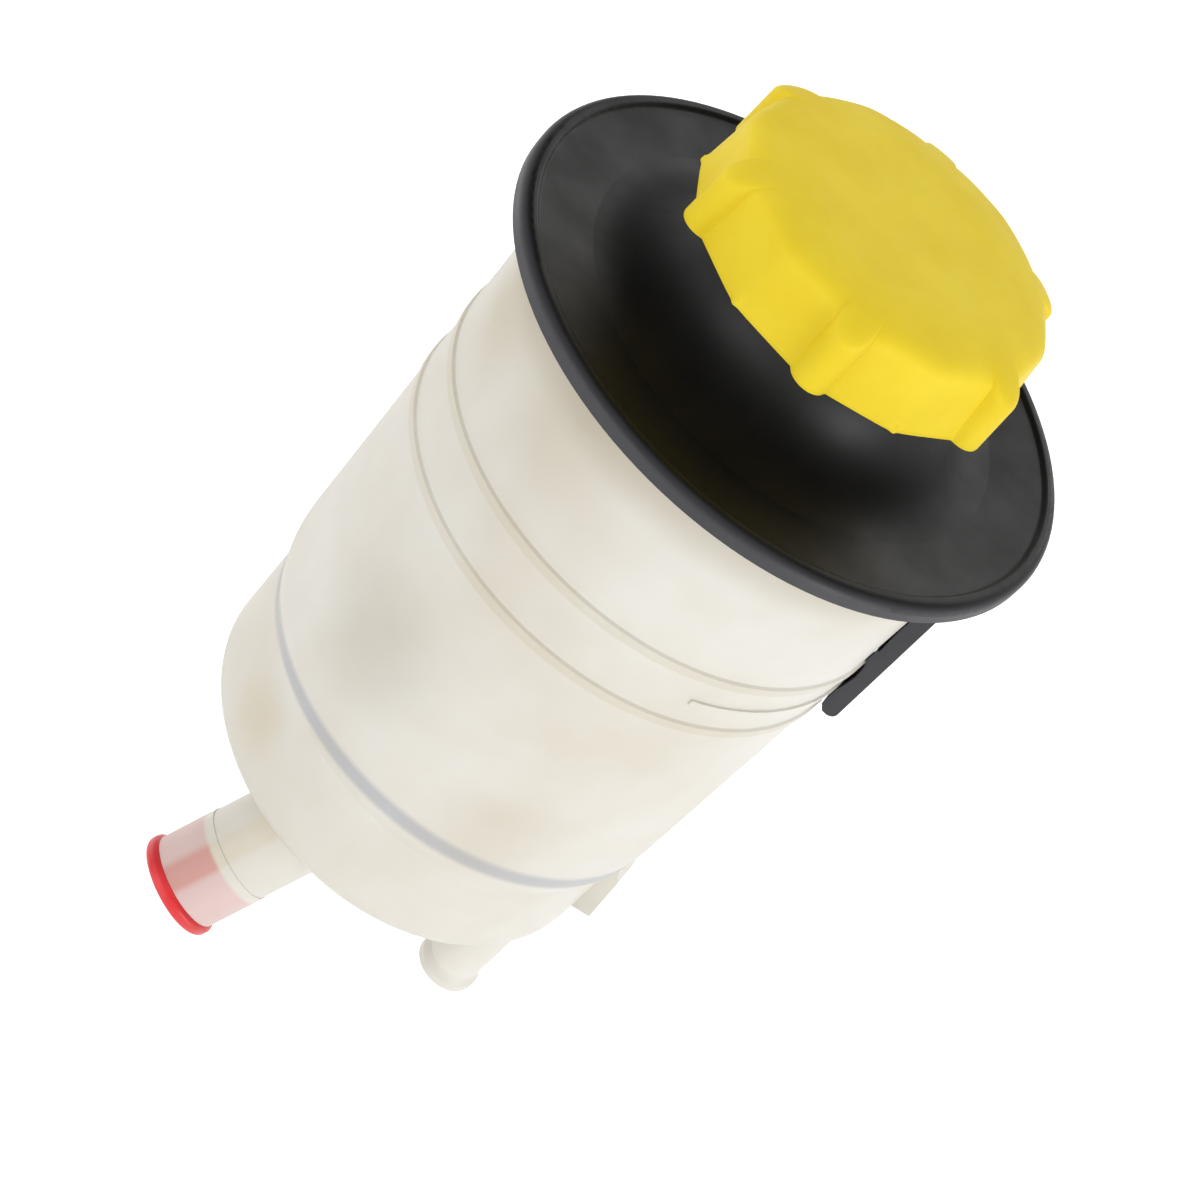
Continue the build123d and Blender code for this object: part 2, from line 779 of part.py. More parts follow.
# Seal between the plate and the chamber's wall
with BuildPart() as filter_seal:
    with BuildSketch(Plane.XZ) as seal_profile:
        with Locations((chamber_bore - fit_gap / 4 - seal_thickness / 2, level(ledge_height + seal_height / 2))):
            Rectangle(seal_thickness - fit_gap / 4, seal_height)
        fillet(seal_profile.vertices(), radius=seal_thickness / 4)
    revolve(axis=Axis.Z)
filter_seal.part.label = "filter_seal"
export_step(filter_seal.part, "parts/filter_seal.step")

# Return pipe: up from the socket, across under the plate and up through the hub
pipe_foot = socket_ledge + fit_gap / 2
with BuildPart() as return_pipe:
    with BuildLine() as pipe_route:
        FilletPolyline(
            (return_spot[0], return_spot[1], level(pipe_foot)),
            (return_spot[0], return_spot[1], level(pipe_run_height)),
            (0, 0, level(pipe_run_height)),
            (0, 0, level(pipe_top)),
            radius=pipe_bend,
        )
    with BuildSketch(spot(return_spot, pipe_foot)):
        Circle(pipe_radius)
    sweep(path=pipe_route.wires()[0])
    with BuildSketch(spot(return_spot, pipe_foot)):
        Circle(pipe_bore)
    sweep(path=pipe_route.wires()[0], mode=Mode.SUBTRACT)
    groove = socket_height - 3.4
    with BuildSketch(spot(return_spot, groove)):
        Circle(pipe_radius + 1.0)
        Circle(socket_bore - 2 * o_ring_section - 0.1, mode=Mode.SUBTRACT)
    extrude(amount=2 * o_ring_section + 0.3, mode=Mode.SUBTRACT)
return_pipe.part.label = "return_pipe"
export_step(return_pipe.part, "parts/return_pipe.step")

with BuildPart() as pipe_o_ring:
    with BuildSketch(Plane(origin=(return_spot[0], return_spot[1], 0), x_dir=(1, 0, 0), z_dir=(0, -1, 0))):
        with Locations((socket_bore - o_ring_section - 0.04, level(groove + o_ring_section + 0.15))):
            Circle(o_ring_section)
    revolve(axis=Axis((return_spot[0], return_spot[1], 0), (0, 0, 1)))
pipe_o_ring.part.label = "pipe_o_ring"
export_step(pipe_o_ring.part, "parts/pipe_o_ring.step")

# Grommet between the pipe and the hub
with BuildPart() as pipe_grommet:
    with BuildSketch(Plane.XZ):
        with BuildLine():
            Polyline(
                (pipe_radius + mesh_gap, level(frame_foot - 0.05)),
                (hub_bore - mesh_gap, level(frame_foot - 0.05)),
                (hub_bore - mesh_gap, level(frame_top + mesh_gap)),
                (hub_radius - 0.8, level(frame_top + mesh_gap)),
                (hub_radius - 1.4, level(frame_top + 1.4)),
                (pipe_radius + mesh_gap, level(frame_top + 1.8)),
                close=True,
            )
        make_face()
    revolve(axis=Axis.Z)
pipe_grommet.part.label = "pipe_grommet"
export_step(pipe_grommet.part, "parts/pipe_grommet.step")

# Diffuser on top of the pipe: a collar, posts and a disc that turns the jet sideways
collar_radius = pipe_radius + 1.8
with BuildPart() as diffuser_cap:
    with BuildSketch(Plane.XY.offset(level(pipe_top))):
        Circle(collar_radius)
        Circle(pipe_radius + mesh_gap, mode=Mode.SUBTRACT)
    extrude(amount=-diffuser_collar)
    with BuildSketch(Plane.XY.offset(level(pipe_top))):
        Circle(collar_radius)
        Circle(pipe_bore, mode=Mode.SUBTRACT)
    extrude(amount=1.0)
    with BuildSketch(Plane.XY.offset(level(pipe_top + 1.0))):
        with PolarLocations((collar_radius + pipe_bore) / 2, diffuser_posts):
            Rectangle(collar_radius - pipe_bore - 0.4, 1.6)
    extrude(amount=diffuser_gap)
    with BuildSketch(Plane.XY.offset(level(pipe_top + 1.0 + diffuser_gap))):
        Circle(diffuser_radius)
    extrude(amount=diffuser_disc)
    fillet(diffuser_cap.faces().sort_by(Axis.Z)[-1].edges(), radius=diffuser_disc / 2)
diffuser_cap.part.label = "diffuser_cap"
export_step(diffuser_cap.part, "parts/diffuser_cap.step")

# Bypass valve: poppet under the web of its housing, with a stem through the cage's floor
poppet_top = frame_top - bypass_web
poppet_foot = poppet_top - poppet_thickness
cage_top = frame_foot - housing_drop
cage_foot = cage_top - cage_height
stem_length = poppet_foot - cage_foot + 1.0
with BuildPart() as bypass_valve:
    with BuildSketch(spot(bypass_spot, poppet_foot)):
        Circle(poppet_radius)
    extrude(amount=poppet_thickness)
    with BuildSketch(spot(bypass_spot, poppet_foot)):
        Circle(poppet_stem)
    extrude(amount=-stem_length)
bypass_valve.part.label = "bypass_valve"
export_step(bypass_valve.part, "parts/bypass_valve.step")

# Cage that closes the housing from below
cage_outside = bypass_radius - bypass_wall - mesh_gap
with BuildPart() as bypass_cage:
    with BuildSketch(spot(bypass_spot, cage_foot)):
        Circle(bypass_radius)
    extrude(amount=cage_height)
    with BuildSketch(spot(bypass_spot, cage_top)):
        Circle(cage_outside)
    extrude(amount=1.6)
    with BuildSketch(spot(bypass_spot, cage_foot + cage_floor)):
        Circle(cage_outside - 1.2)
    extrude(amount=cage_height + 1.6 - cage_floor, mode=Mode.SUBTRACT)
    with BuildSketch(spot(bypass_spot, cage_foot + cage_floor)):
        for turn in range(cage_slots // 2):
            Rectangle(2 * bypass_radius + 2, spoke_width * 1.8, rotation=90 * turn)
    extrude(amount=cage_height - cage_floor - 1.5, mode=Mode.SUBTRACT)
    with BuildSketch(spot(bypass_spot, cage_foot)):
        Circle(poppet_stem + 0.08)
    extrude(amount=cage_floor, mode=Mode.SUBTRACT)
bypass_cage.part.label = "bypass_cage"
export_step(bypass_cage.part, "parts/bypass_cage.step")

# Spring from the cage's floor to the poppet
spring_foot = cage_foot + cage_floor + spring_wire + mesh_gap
spring_length = poppet_foot - spring_wire - mesh_gap - spring_foot
with BuildPart() as bypass_spring:
    with BuildLine() as spring_path:
        Helix(
            pitch=spring_length / spring_turns,
            height=spring_length,
            radius=spring_radius,
            center=(bypass_spot[0], bypass_spot[1], level(spring_foot)),
        )
    with BuildSketch(Plane(origin=spring_path.line @ 0, z_dir=spring_path.line % 0)):
        Circle(spring_wire)
    sweep(path=spring_path.wires()[0], is_frenet=True)
bypass_spring.part.label = "bypass_spring"
export_step(bypass_spring.part, "parts/bypass_spring.step")

# Transport plug: thick soft flange outside, thin sleeve in the bore, closed at its inner end
with BuildPart() as suction_plug:
    with BuildSketch(suction_plane):
        Circle(plug_radius)
        Circle(suction_bore - plug_clearance - plug_wall, mode=Mode.SUBTRACT)
    extrude(amount=plug_flange)
    fillet(suction_plug.edges().filter_by(GeomType.CIRCLE).group_by(SortBy.RADIUS)[-1], radius=plug_flange * 0.4)
    with BuildSketch(suction_plane):
        Circle(suction_bore - plug_clearance)
        Circle(suction_bore - plug_clearance - plug_wall, mode=Mode.SUBTRACT)
    extrude(amount=-plug_depth)
    with BuildSketch(suction_plane.offset(-plug_depth)):
        Circle(suction_bore - plug_clearance)
    extrude(amount=plug_wall)
suction_plug.part.label = "suction_plug"
export_step(suction_plug.part, "parts/suction_plug.step")
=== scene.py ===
import math

import bpy
import numpy as np
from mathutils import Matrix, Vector


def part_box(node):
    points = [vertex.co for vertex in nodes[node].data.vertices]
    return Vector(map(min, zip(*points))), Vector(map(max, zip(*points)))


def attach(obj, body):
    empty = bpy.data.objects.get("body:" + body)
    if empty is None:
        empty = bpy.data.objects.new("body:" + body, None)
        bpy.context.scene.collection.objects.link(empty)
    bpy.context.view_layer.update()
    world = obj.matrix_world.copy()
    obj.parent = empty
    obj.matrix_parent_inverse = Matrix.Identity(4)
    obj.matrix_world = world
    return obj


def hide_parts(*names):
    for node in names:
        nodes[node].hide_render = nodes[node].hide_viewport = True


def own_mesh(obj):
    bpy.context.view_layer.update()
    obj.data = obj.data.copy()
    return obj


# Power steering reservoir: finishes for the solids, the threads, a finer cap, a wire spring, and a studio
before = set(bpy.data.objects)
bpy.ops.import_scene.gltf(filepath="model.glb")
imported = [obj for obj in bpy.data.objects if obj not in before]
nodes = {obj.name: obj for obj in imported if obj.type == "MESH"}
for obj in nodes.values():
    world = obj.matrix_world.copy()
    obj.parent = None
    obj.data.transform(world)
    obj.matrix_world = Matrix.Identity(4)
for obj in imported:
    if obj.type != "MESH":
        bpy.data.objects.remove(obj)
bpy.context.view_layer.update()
print("frame loaded:", len(nodes), "parts")

mm = 0.001
strapHeight = 93.0  # the tank's foot lies this far below the origin, in mm


def level(height):
    return (height - strapHeight) * mm


def hexColour(code, alpha=1.0):
    # sRGB hex to the linear values that Blender's sockets take
    parts = np.array([int(code[i : i + 2], 16) for i in (1, 3, 5)]) / 255
    linear = np.where(parts <= 0.04045, parts / 12.92, ((parts + 0.055) / 1.055) ** 2.4)
    return (*linear.tolist(), alpha)


def addNode(tree, kind, settings=None, sockets=None):
    # a node with its settings; a socket value that is a pair (node, output) becomes a link
    node = tree.nodes.new(kind)
    for key, value in (settings or {}).items():
        setattr(node, key, value)
    for key, value in (sockets or {}).items():
        if isinstance(value, tuple) and len(value) == 2 and isinstance(value[0], bpy.types.Node):
            tree.links.new(value[0].outputs[value[1]], node.inputs[key])
        else:
            node.inputs[key].default_value = value
    return node


def newMaterial(name, sockets):
    material = bpy.data.materials.new(name)
    material.use_nodes = True
    tree = material.node_tree
    tree.nodes.clear()
    shader = addNode(tree, "ShaderNodeBsdfPrincipled", None, sockets)
    addNode(tree, "ShaderNodeOutputMaterial", None, {"Surface": (shader, "BSDF")})
    place = addNode(tree, "ShaderNodeTexCoord")
    return material, tree, shader, place


def mottle(tree, shader, place, low, high, patch):
    # base colour that drifts between two shades over patches of a real size in mm
    spread = 0.16  # the noise stays mostly this near its middle, so both shades are reached
    noise = addNode(
        tree,
        "ShaderNodeTexNoise",
        None,
        {"Vector": (place, "Object"), "Scale": 1 / (patch * mm), "Detail": 3.0, "Roughness": 0.55},
    )
    ramp = addNode(tree, "ShaderNodeValToRGB", None, {"Fac": (noise, "Fac")})
    ramp.color_ramp.elements[0].position = 0.5 - spread
    ramp.color_ramp.elements[0].color = hexColour(low)
    ramp.color_ramp.elements[1].position = 0.5 + spread
    ramp.color_ramp.elements[1].color = hexColour(high)
    tree.links.new(ramp.outputs["Color"], shader.inputs["Base Color"])


def tintZone(tree, shader, mask, shade, amount):
    # multiplies the base colour by a shade where the mask is 1
    source = shader.inputs["Base Color"].links[0]
    share = addNode(tree, "ShaderNodeMath", {"operation": "MULTIPLY"}, {0: mask, 1: amount})
    mixed = addNode(
        tree,
        "ShaderNodeMix",
        {"data_type": "RGBA", "blend_type": "MULTIPLY"},
        {0: (share, "Value"), 6: (source.from_node, source.from_socket.name), 7: hexColour(shade)},
    )
    tree.links.new(mixed.outputs[2], shader.inputs["Base Color"])


def heightMask(tree, place, low, high, soft, fall=(0, 0)):
    # 1 between two heights in mm above the tank's foot, with a smooth step of soft mm outside each. The band
    # falls by fall mm for each mm along x and y.
    height = addNode(
        tree,
        "ShaderNodeVectorMath",
        {"operation": "DOT_PRODUCT"},
        {0: (place, "Object"), 1: (fall[0], fall[1], 1.0)},
    )
    edges = []
    for start, end in ((level(low - soft), level(low)), (level(high + soft), level(high))):
        edges.append(
            addNode(
                tree,
                "ShaderNodeMapRange",
                {"interpolation_type": "SMOOTHSTEP"},
                {"Value": (height, "Value"), "From Min": start, "From Max": end},
            )
        )
    both = addNode(
        tree, "ShaderNodeMath", {"operation": "MINIMUM"}, {0: (edges[0], "Result"), 1: (edges[1], "Result")}
    )
    return (both, "Value")


def grain(tree, shader, place, size, height, strength):
    # moulded skin: bump of a real grain size and height in mm
    noise = addNode(
        tree,
        "ShaderNodeTexNoise",
        None,
        {"Vector": (place, "Object"), "Scale": 1 / (size * mm), "Detail": 2.0, "Roughness": 0.6},
    )
    bump = addNode(
        tree,
        "ShaderNodeBump",
        None,
        {"Height": (noise, "Fac"), "Distance": height * mm, "Strength": strength},
    )
    tree.links.new(bump.outputs["Normal"], shader.inputs["Normal"])


def roughnessDrift(tree, shader, place, low, high, patch):
    # handling and mould marks: roughness that drifts over patches of a real size in mm. The noise stays mostly
    # between 0.3 and 0.7.
    noise = addNode(
        tree,
        "ShaderNodeTexNoise",
        None,
        {"Vector": (place, "Object"), "Scale": 1 / (patch * mm), "Detail": 4.0, "Roughness": 0.6},
    )
    span = addNode(
        tree,
        "ShaderNodeMapRange",
        None,
        {"Value": (noise, "Fac"), "From Min": 0.3, "From Max": 0.7, "To Min": low, "To Max": high},
    )
    tree.links.new(span.outputs["Result"], shader.inputs["Roughness"])


def moulded(tree, shader, place, look):
    # the usual skin of a moulded piece: two shades that drift, uneven roughness and a fine grain
    mottle(tree, shader, place, look["dark"], look["light"], look["patch"])
    roughnessDrift(tree, shader, place, *look["roughness"], look["drift"])
    grain(tree, shader, place, *look["grain"])


def weave(tree, shader, place, pitch, height):
    # square mesh: two bands of threads a real pitch apart, in mm. At scale 1 a band repeats every 2 pi / 20 m.
    scale = 2 * math.pi / (20 * pitch * mm)
    bands = []
    for direction in ("X", "Y"):
        bands.append(
            addNode(
                tree,
                "ShaderNodeTexWave",
                {"wave_type": "BANDS", "bands_direction": direction, "wave_profile": "SIN"},
                {"Vector": (place, "Object"), "Scale": scale, "Distortion": 0.0},
            )
        )
    both = addNode(
        tree, "ShaderNodeMath", {"operation": "MAXIMUM"}, {0: (bands[0], "Fac"), 1: (bands[1], "Fac")}
    )
    bump = addNode(
        tree, "ShaderNodeBump", None, {"Height": (both, "Value"), "Distance": height * mm, "Strength": 0.8}
    )
    tree.links.new(bump.outputs["Normal"], shader.inputs["Normal"])
    return both


# Natural polyamide 6, rotary welded tank: milky, warm, lets a blurred image through its wall
tankPlastic = {
    "pale": "#F6F3EB",
    "warm": "#ECE6D8",
    "patch": 38.0,
    "roughness": (0.40, 0.50),
    "drift": 18.0,
    "grain": (1.4, 0.02, 0.2),  # size and height in mm, strength
    "ior": 1.53,
    "transmission": 0.22,
    # soft bands by height: the filter seal's ring seen through the wall, a warm tint along each rib, and near the
    # top the black spigot behind the wall together with painted shade under the cover's skirt. Each band gives
    # lowest, highest, softness in mm above the foot, shade, amount, and how far the band falls for each mm along x
    # and y
    "bands": (
        (25.1, 26.9, 2.3, "#D0D4E0", 0.9, (0.007, 0.07)),
        (84.9, 86.7, 0.8, "#E9E1CD", 0.35, (0, 0)),
        (99.3, 101.1, 0.8, "#E9E1CD", 0.35, (0, 0)),
        # darker towards the top under the cover: the black spigot seen through the wall, and painted shade of the
        # skirt's overhang
        (130.0, 150.0, 9.0, "#E2DCD0", 0.7, (0, 0)),
    ),
    # cloudy places in the moulding, and at the top on the left front painted shade under the cover's skirt: centre
    # with its height above the foot and reach in mm, shade, amount
    "cloudsAndShade": (
        ((-18.0, -46.0, 56.0), 25.0, "#E6E5E0", 0.55),
        ((-27.0, -39.0, 13.0), 15.0, "#EFE6D2", 0.7),
        ((24.0, -44.0, 40.0), 20.0, "#EEE9DF", 0.6),
        # painted shade under the cover's skirt on the left front, the side away from the light
        ((-20.0, -47.0, 122.0), 22.0, "#ECE6D9", 0.6),
        ((-42.0, -30.0, 124.0), 24.0, "#E4DCC9", 0.7),
    ),
    # the plug's sleeve shows pink through the end of the suction port, as deep as the sleeve goes in
    "sleeve": {
        "end": (-14.52, -45.72, -121.51),
        "inward": (0.31029, 0.44314, 0.841039),
        "deep": 10.6,
        "soft": (0.8, 0.4),
        "radius": 11.2,
        "shade": "#FCE0E5",
        "amount": 0.9,
        # painted shade of the bore's dark hollow behind the wall, as a darker stripe along the port's front: from,
        # to and softness in mm
        "across": (-0.9480, 0.2098, 0.2392),
        "stripe": (0.0, 3.6, 2.0),
        "stripeFade": (4.0, -3.0),  # heights above the foot where it starts and is full
        "stripeAmount": 0.9,
        "stripeShade": "#FBF6EC",
        "stripePink": "#F9D4D5",
    },
}
tankMaterial, tree, shader, place = newMaterial(
    "naturalPolyamide",
    {
        "IOR": tankPlastic["ior"],
        "Transmission Weight": tankPlastic["transmission"],
        "Specular IOR Level": 0.4,
    },
)
mottle(tree, shader, place, tankPlastic["warm"], tankPlastic["pale"], tankPlastic["patch"])
for low, high, soft, shade, amount, fall in tankPlastic["bands"]:
    tintZone(tree, shader, heightMask(tree, place, low, high, soft, fall), shade, amount)
for centre, reach, shade, amount in tankPlastic["cloudsAndShade"]:
    middle = (centre[0] * mm, centre[1] * mm, level(centre[2]))
    away = addNode(tree, "ShaderNodeVectorMath", {"operation": "DISTANCE"}, {0: (place, "Object"), 1: middle})
    cloudAndShade = addNode(
        tree,
        "ShaderNodeMapRange",
        {"interpolation_type": "SMOOTHERSTEP"},
        {"Value": (away, "Value"), "From Min": reach * mm, "From Max": 0.0},
    )
    tintZone(tree, shader, (cloudAndShade, "Result"), shade, amount)
sleeve = tankPlastic["sleeve"]
axes = addNode(tree, "ShaderNodeSeparateXYZ", None, {"Vector": (place, "Object")})
fromEnd = addNode(
    tree,
    "ShaderNodeVectorMath",
    {"operation": "SUBTRACT"},
    {0: (place, "Object"), 1: tuple(v * mm for v in sleeve["end"])},
)
along = addNode(
    tree, "ShaderNodeVectorMath", {"operation": "DOT_PRODUCT"}, {0: (fromEnd, "Vector"), 1: sleeve["inward"]}
)
across = addNode(
    tree,
    "ShaderNodeVectorMath",
    {"operation": "CROSS_PRODUCT"},
    {0: (fromEnd, "Vector"), 1: sleeve["inward"]},
)
across = addNode(tree, "ShaderNodeVectorMath", {"operation": "LENGTH"}, {0: (across, "Vector")})
deep = addNode(
    tree,
    "ShaderNodeMapRange",
    {"interpolation_type": "SMOOTHSTEP"},
    {
        "Value": (along, "Value"),
        "From Min": (sleeve["deep"] + sleeve["soft"][0]) * mm,
        "From Max": (sleeve["deep"] - sleeve["soft"][1]) * mm,
    },
)
near = addNode(
    tree, "ShaderNodeMath", {"operation": "LESS_THAN"}, {0: (across, "Value"), 1: sleeve["radius"] * mm}
)
pink = addNode(tree, "ShaderNodeMath", {"operation": "MULTIPLY"}, {0: (deep, "Result"), 1: (near, "Value")})
tintZone(tree, shader, (pink, "Value"), sleeve["shade"], sleeve["amount"])
sideways = addNode(
    tree, "ShaderNodeVectorMath", {"operation": "DOT_PRODUCT"}, {0: (fromEnd, "Vector"), 1: sleeve["across"]}
)
low, high, soft = sleeve["stripe"]
edges = []
for start, end in ((low - soft, low), (high + soft, high)):
    edges.append(
        addNode(
            tree,
            "ShaderNodeMapRange",
            {"interpolation_type": "SMOOTHSTEP"},
            {"Value": (sideways, "Value"), "From Min": start * mm, "From Max": end * mm},
        )
    )
outside = addNode(
    tree,
    "ShaderNodeMapRange",
    {"interpolation_type": "SMOOTHSTEP"},
    {
        "Value": (axes, "Z"),
        "From Min": level(sleeve["stripeFade"][0]),
        "From Max": level(sleeve["stripeFade"][1]),
    },
)
stripe = (edges[0], "Result")
for mask in ((edges[1], "Result"), (near, "Value"), (outside, "Result")):
    stripe = (addNode(tree, "ShaderNodeMath", {"operation": "MULTIPLY"}, {0: stripe, 1: mask}), "Value")
# painted shade of the bore's hollow, darker along the port's front and a deeper pink where the sleeve is
tintZone(tree, shader, stripe, sleeve["stripeShade"], sleeve["stripeAmount"])
pinkStripe = addNode(tree, "ShaderNodeMath", {"operation": "MULTIPLY"}, {0: stripe, 1: (pink, "Value")})
tintZone(tree, shader, (pinkStripe, "Value"), sleeve["stripePink"], sleeve["stripeAmount"])
roughnessDrift(tree, shader, place, *tankPlastic["roughness"], tankPlastic["drift"])
grain(tree, shader, place, *tankPlastic["grain"])

# Black glass filled polyamide, moulded with a fine spark eroded skin: dull sheen, warm black
coverPlastic = {
    "dark": "#070605",
    "light": "#0C0B0A",
    "patch": 9.0,
    "roughness": (0.46, 0.56),
    "drift": 12.0,
    "grain": (0.55, 0.02, 0.5),
    # the skirt's painted light: colour, and the radii and heights over which it fades in
    "skirt": {"shade": "#333236", "radius": (58.9, 60.0), "height": (136.5, 135.5)},
}
coverMaterial, tree, shader, place = newMaterial(
    "blackGlassFilledPolyamide", {"IOR": 1.5, "Specular IOR Level": 0.5}
)
mottle(tree, shader, place, coverPlastic["dark"], coverPlastic["light"], coverPlastic["patch"])
# painted light: the skirt's outer face, and the parts below it, are painted a cooler, lighter grey that stands for
# the light they catch from the front and the right
axes = addNode(tree, "ShaderNodeSeparateXYZ", None, {"Vector": (place, "Object")})
flat = addNode(tree, "ShaderNodeCombineXYZ", None, {"X": (axes, "X"), "Y": (axes, "Y")})
reach = addNode(tree, "ShaderNodeVectorMath", {"operation": "LENGTH"}, {0: (flat, "Vector")})
outer = addNode(
    tree,
    "ShaderNodeMapRange",
    {"interpolation_type": "SMOOTHSTEP"},
    {
        "Value": (reach, "Value"),
        "From Min": coverPlastic["skirt"]["radius"][0] * mm,
        "From Max": coverPlastic["skirt"]["radius"][1] * mm,
    },
)
below = addNode(
    tree,
    "ShaderNodeMapRange",
    {"interpolation_type": "SMOOTHSTEP"},
    {
        "Value": (axes, "Z"),
        "From Min": level(coverPlastic["skirt"]["height"][0]),
        "From Max": level(coverPlastic["skirt"]["height"][1]),
    },
)
skirtPaintedLight = addNode(
    tree, "ShaderNodeMath", {"operation": "MAXIMUM"}, {0: (outer, "Result"), 1: (below, "Result")}
)
source = shader.inputs["Base Color"].links[0]
mixed = addNode(
    tree,
    "ShaderNodeMix",
    {"data_type": "RGBA"},
    {
        0: (skirtPaintedLight, "Value"),
        6: (source.from_node, source.from_socket.name),
        7: hexColour(coverPlastic["skirt"]["shade"]),
    },
)
tree.links.new(mixed.outputs[2], shader.inputs["Base Color"])
roughnessDrift(tree, shader, place, *coverPlastic["roughness"], coverPlastic["drift"])
grain(tree, shader, place, *coverPlastic["grain"])

# Yellow polypropylene cap, satin mould skin: saturated, soft highlights
capPlastic = {
    "dark": "#F0D32C",
    "light": "#F6DB36",
    "patch": 14.0,
    "roughness": (0.44, 0.54),
    "drift": 10.0,
    "grain": (0.9, 0.02, 0.35),
}
capMaterial, tree, shader, place = newMaterial(
    "yellowPolypropylene",
    {
        "IOR": 1.49,
        "Specular IOR Level": 0.14,
        "Subsurface Weight": 0.08,
        "Subsurface Radius": (1.0, 0.7, 0.1),
        "Subsurface Scale": 1.5 * mm,
    },
)
moulded(tree, shader, place, capPlastic)

# Red low density polyethylene transport plug: soft, waxy, lets light through
plugPlastic = {"dark": "#F02A30", "light": "#F83E42", "patch": 6.0, "grain": (0.8, 0.02, 0.3)}
plugMaterial, tree, shader, place = newMaterial(
    "redPolyethylene",
    {
        "IOR": 1.51,
        "Roughness": 0.38,
        "Transmission Weight": 0.35,
        "Subsurface Weight": 0.3,
        "Subsurface Radius": (1.0, 0.2, 0.15),
        "Subsurface Scale": 2.0 * mm,
    },
)
mottle(tree, shader, place, plugPlastic["dark"], plugPlastic["light"], plugPlastic["patch"])
grain(tree, shader, place, *plugPlastic["grain"])

# Black nitrile rubber seals: matt, slightly dusty
sealRubber = {
    "dark": "#121212",
    "light": "#1B1B1B",
    "patch": 3.0,
    "roughness": (0.6, 0.75),
    "drift": 4.0,
    "grain": (0.5, 0.02, 0.4),
}
rubberMaterial, tree, shader, place = newMaterial("nitrileRubber", {"IOR": 1.52, "Specular IOR Level": 0.3})
moulded(tree, shader, place, sealRubber)

# Blue grey hydrogenated nitrile seal round the filter plate: the dark ring seen through the wall
filterRubber = {
    "dark": "#1E242C",
    "light": "#262D36",
    "patch": 4.0,
    "roughness": (0.55, 0.7),
    "drift": 4.0,
    "grain": (0.5, 0.02, 0.4),
}
filterRubberMaterial, tree, shader, place = newMaterial(
    "blueGreyNitrile", {"IOR": 1.52, "Specular IOR Level": 0.3}
)
moulded(tree, shader, place, filterRubber)

# Natural polyamide inner mouldings: opaque cream, satin
innerPlastic = {
    "dark": "#CFC6AF",
    "light": "#DAD3BF",
    "patch": 12.0,
    "roughness": (0.4, 0.5),
    "drift": 10.0,
    "grain": (0.7, 0.02, 0.3),
}
innerMaterial, tree, shader, place = newMaterial(
    "creamPolyamide",
    {
        "IOR": 1.53,
        "Subsurface Weight": 0.1,
        "Subsurface Radius": (1.0, 0.8, 0.5),
        "Subsurface Scale": 2.0 * mm,
    },
)
moulded(tree, shader, place, innerPlastic)

# Black polyamide seal plate inside the cap: smooth satin
platePlastic = {
    "dark": "#181818",
    "light": "#222222",
    "patch": 8.0,
    "roughness": (0.38, 0.48),
    "drift": 8.0,
    "grain": (0.6, 0.02, 0.3),
}
plateMaterial, tree, shader, place = newMaterial("blackPolyamide", {"IOR": 1.5, "Specular IOR Level": 0.45})
moulded(tree, shader, place, platePlastic)

# Woven nylon monofilament: pale threads 1.2 mm apart, drawn coarser than the real 0.2 mm so that they show
meshNylon = {"gap": "#8D8672", "thread": "#E6E1D2", "pitch": 1.2, "height": 0.12}
meshMaterial, tree, shader, place = newMaterial(
    "nylonMonofilament", {"IOR": 1.53, "Roughness": 0.45, "Sheen Weight": 0.15}
)
threads = weave(tree, shader, place, meshNylon["pitch"], meshNylon["height"])
# the gaps between the threads are painted darker, as painted shade in the openings
ramp = addNode(tree, "ShaderNodeValToRGB", None, {"Fac": (threads, "Value")})
ramp.color_ramp.elements[0].color = hexColour(meshNylon["gap"])
ramp.color_ramp.elements[1].color = hexColour(meshNylon["thread"])
tree.links.new(ramp.outputs["Color"], shader.inputs["Base Color"])

# Open cell polyurethane foam: dark grey with pores about 0.8 mm across; each pore is painted darker towards its
# deep middle, as painted shade
foam = {"poreShade": "#141416", "rim": "#3A3A3F", "pitch": 0.8, "depth": 0.3}
foamMaterial, tree, shader, place = newMaterial("polyurethaneFoam", {"IOR": 1.5, "Roughness": 0.85})
pores = addNode(
    tree,
    "ShaderNodeTexVoronoi",
    None,
    {"Vector": (place, "Object"), "Scale": 1 / (foam["pitch"] * mm), "Randomness": 0.9},
)
ramp = addNode(tree, "ShaderNodeValToRGB", None, {"Fac": (pores, "Distance")})
ramp.color_ramp.elements[0].color = hexColour(foam["poreShade"])
ramp.color_ramp.elements[1].color = hexColour(foam["rim"])
bump = addNode(
    tree,
    "ShaderNodeBump",
    None,
    {"Height": (pores, "Distance"), "Distance": foam["depth"] * mm, "Strength": 0.9},
)
tree.links.new(ramp.outputs["Color"], shader.inputs["Base Color"])
tree.links.new(bump.outputs["Normal"], shader.inputs["Normal"])

# Drawn spring steel wire: metallic grey with fine drawing lines
springWire = {"dark": "#8C8E92", "light": "#A4A6AA", "patch": 2.0, "grain": (0.3, 0.01, 0.4)}
steelMaterial, tree, shader, place = newMaterial("springSteel", {"Metallic": 1.0, "Roughness": 0.3})
mottle(tree, shader, place, springWire["dark"], springWire["light"], springWire["patch"])
grain(tree, shader, place, *springWire["grain"])

